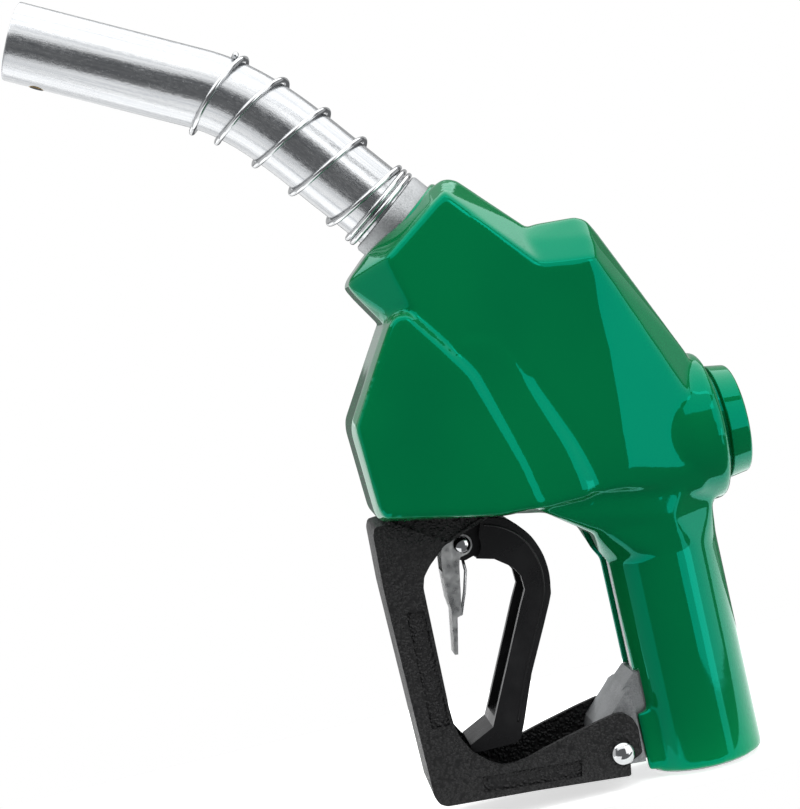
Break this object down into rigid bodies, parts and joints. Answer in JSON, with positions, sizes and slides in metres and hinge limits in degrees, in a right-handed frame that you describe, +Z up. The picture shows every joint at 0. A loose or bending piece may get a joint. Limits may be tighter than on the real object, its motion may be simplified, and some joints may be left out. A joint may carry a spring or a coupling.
{
  "type": "fuel nozzle",
  "caption": "Automatic fuel nozzle: bent spout with anchor spring, moulded cover over a valve body, squeeze lever with hold-open clip, and a hand guard.",
  "frame": {"origin": "centre of the hose inlet's end face, at the lower end of the handle", "axes": "+Z up along the handle's axis, +X towards the round valve cap, -X towards the spout and the guard; symmetric about Y = 0"},
  "size_m": [0.2454, 0.066, 0.3393],
  "materials": {
    "cover_vinyl": "very glossy moulded green vinyl",
    "cast_aluminium": "as cast, lightly blasted",
    "spout_aluminium": "fine brushed",
    "chrome_wire": "bright plated",
    "zinc_steel": "zinc plated, mottled",
    "guard_nylon": "black, fine leather grain",
    "lever_nylon": "satin black",
    "brass": "turned",
    "stainless": "turned or drawn",
    "black_rubber": "moulded"
  },
  "bodies": {
    "nozzle_body": {"grip_cover": "cover_vinyl", "body_casting": "cast_aluminium", "inlet_gasket": "black_rubber", "inlet_strainer": "stainless", "spout_tube": "spout_aluminium", "spout_ferrule": "cast_aluminium", "spout_seal": "black_rubber", "spout_set_screw": "stainless", "anchor_spring": "chrome_wire", "vent_tube": "stainless", "vent_port_bush": "brass", "venturi_seat": "brass", "check_spring": "stainless", "valve_seat": "brass", "valve_spring": "stainless", "stem_packing": "black_rubber", "stem_gland": "brass", "valve_cap": "cast_aluminium", "valve_cap_seal": "black_rubber", "trip_spring": "stainless", "diaphragm": "black_rubber", "diaphragm_spring": "stainless", "vacuum_cap": "cast_aluminium", "hand_guard": "guard_nylon", "guard_rivet": "chrome_wire", "guard_front_screw": "stainless"},
    "trip": {"trip_plunger": "stainless", "lever_pin": "stainless", "latch_ball_1": "stainless", "latch_ball_2": "stainless", "latch_ball_3": "stainless"},
    "latch": {"latch_pin": "brass", "diaphragm_plate": "stainless"},
    "lever": {"lever": "lever_nylon", "clip_rivet": "chrome_wire"},
    "clip": {"hold_open_clip": "zinc_steel", "clip_spring": "stainless"},
    "valve": {"valve_stem": "stainless", "valve_poppet": "brass", "valve_disc": "black_rubber", "disc_retainer": "brass"},
    "check": {"check_poppet": "brass"}
  },
  "joints": [
    {"name": "lever_squeeze", "type": "hinge", "parent": "trip", "child": "lever", "pos_m": [-0.076, 0, 0.156], "axis": [0, -1, 0], "range_deg": [0, 11], "stiffness_Nm_per_rad": 8, "springref_deg": -6.88, "deforming": ["valve_spring"]},
    {"name": "valve_lift", "type": "slide", "parent": "nozzle_body", "child": "valve", "axis": [1, 0, 0], "range_m": [0, 0.0058]},
    {"name": "clip_swing", "type": "hinge", "parent": "lever", "child": "clip", "pos_m": [-0.0749, 0, 0.1032], "axis": [0, 1, 0], "range_deg": [0, 20], "stiffness_Nm_per_rad": 0.03, "springref_deg": -34.38, "deforming": ["clip_spring"]},
    {"name": "trip_drop", "type": "slide", "parent": "nozzle_body", "child": "trip", "axis": [-0.7926, 0, -0.6097], "range_m": [0, 0.006], "stiffness_N_per_m": 900, "springref_m": -0.012, "deforming": ["trip_spring"]},
    {"name": "latch_lift", "type": "slide", "parent": "nozzle_body", "child": "latch", "axis": [0.7926, 0, 0.6097], "range_m": [0, 0.0025], "stiffness_N_per_m": 300, "springref_m": -0.004, "deforming": ["diaphragm", "diaphragm_spring"]},
    {"name": "check_open", "type": "slide", "parent": "nozzle_body", "child": "check", "axis": [-0.6293, 0, 0.7771], "range_m": [0, 0.004], "stiffness_N_per_m": 200, "springref_m": -0.004, "deforming": ["check_spring"]}
  ],
  "couplings": [
    {"joint": "valve_lift", "follows": "lever_squeeze", "m_per_rad": 0.03}
  ]
}
